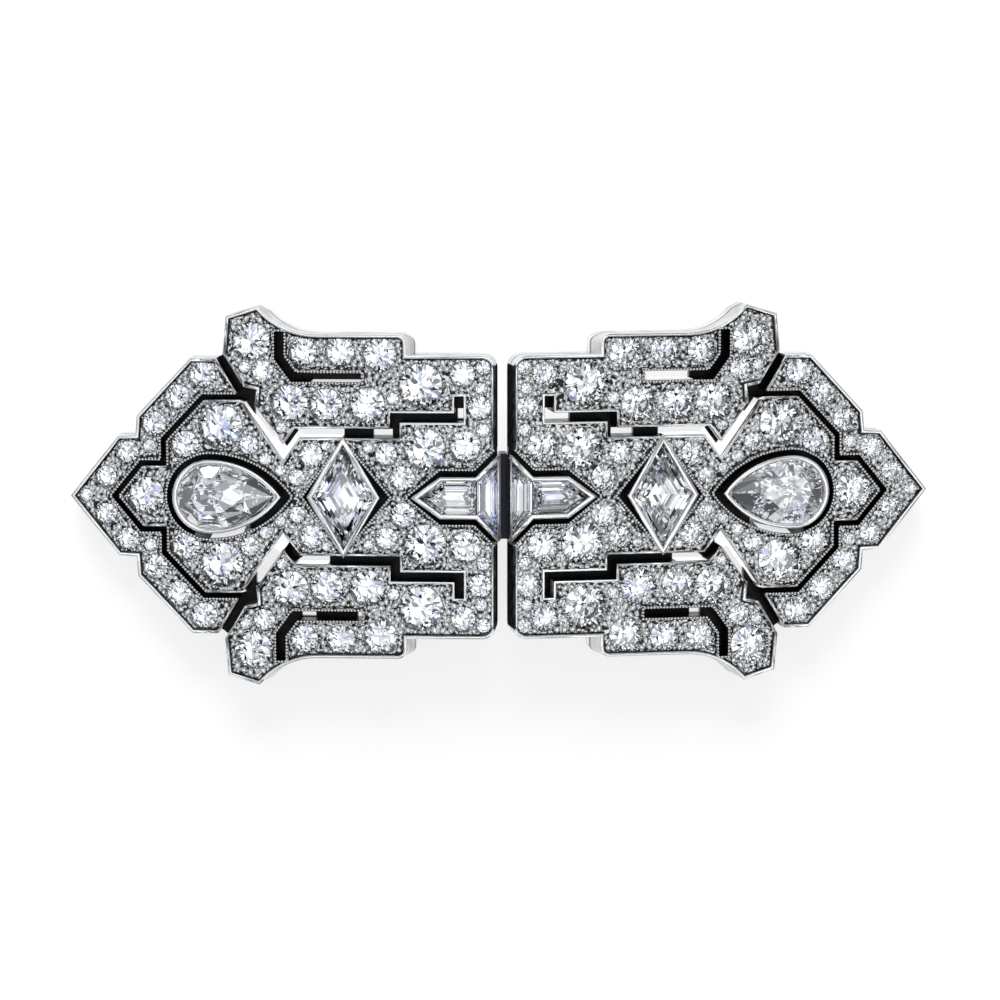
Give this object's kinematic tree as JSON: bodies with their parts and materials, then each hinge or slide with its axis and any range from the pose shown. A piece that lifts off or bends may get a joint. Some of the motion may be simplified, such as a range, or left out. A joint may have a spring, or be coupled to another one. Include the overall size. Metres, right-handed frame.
{
  "type": "double clip brooch",
  "caption": "Art Deco double clip brooch: two mirrored pierced dress clips set with pear, lozenge, baguette and round stones, side by side on a hidden frame with a pin",
  "frame": {"origin": "middle of the brooch, on the level it rests on when it lies on its back", "axes": "+X along the brooch through both clips, +Y across it, +Z out of its face"},
  "size_m": [0.0674, 0.0296, 0.0078],
  "materials": {
    "platinum": "bright polished platinum on the rims, bezels and milgrain, darker between the set stones",
    "back_metal": "softly polished white metal",
    "diamond": "clear colourless cut stone with sharp polished facets"
  },
  "bodies": {
    "root": {"clip_mount_left": "platinum", "clip_mount_right": "platinum", "clip_prongs_left": "back_metal", "clip_prongs_right": "back_metal", "small_stones_left": "diamond", "small_stones_right": "diamond", "pear_stone_left": "diamond", "pear_stone_right": "diamond", "lozenge_stone_left": "diamond", "lozenge_stone_right": "diamond", "bullet_stone_left": "diamond", "bullet_stone_right": "diamond", "trapezoid_stone_left": "diamond", "trapezoid_stone_right": "diamond", "bay_stone_left": "diamond", "bay_stone_right": "diamond", "brooch_frame": "back_metal", "brooch_pin": "back_metal", "shield_stone_left_upper": "diamond", "horn_stone_left_upper": "diamond", "tab_stone_left_upper": "diamond", "scroll_stone_outer_left_upper": "diamond", "scroll_stone_inner_left_upper": "diamond", "step_stone_left_upper": "diamond", "body_stone_left_upper": "diamond", "shield_stone_left_lower": "diamond", "horn_stone_left_lower": "diamond", "tab_stone_left_lower": "diamond", "scroll_stone_outer_left_lower": "diamond", "scroll_stone_inner_left_lower": "diamond", "step_stone_left_lower": "diamond", "body_stone_left_lower": "diamond", "shield_stone_right_upper": "diamond", "horn_stone_right_upper": "diamond", "tab_stone_right_upper": "diamond", "scroll_stone_outer_right_upper": "diamond", "scroll_stone_inner_right_upper": "diamond", "step_stone_right_upper": "diamond", "body_stone_right_upper": "diamond", "shield_stone_right_lower": "diamond", "horn_stone_right_lower": "diamond", "tab_stone_right_lower": "diamond", "scroll_stone_outer_right_lower": "diamond", "scroll_stone_inner_right_lower": "diamond", "step_stone_right_lower": "diamond", "body_stone_right_lower": "diamond"}
  },
  "joints": []
}
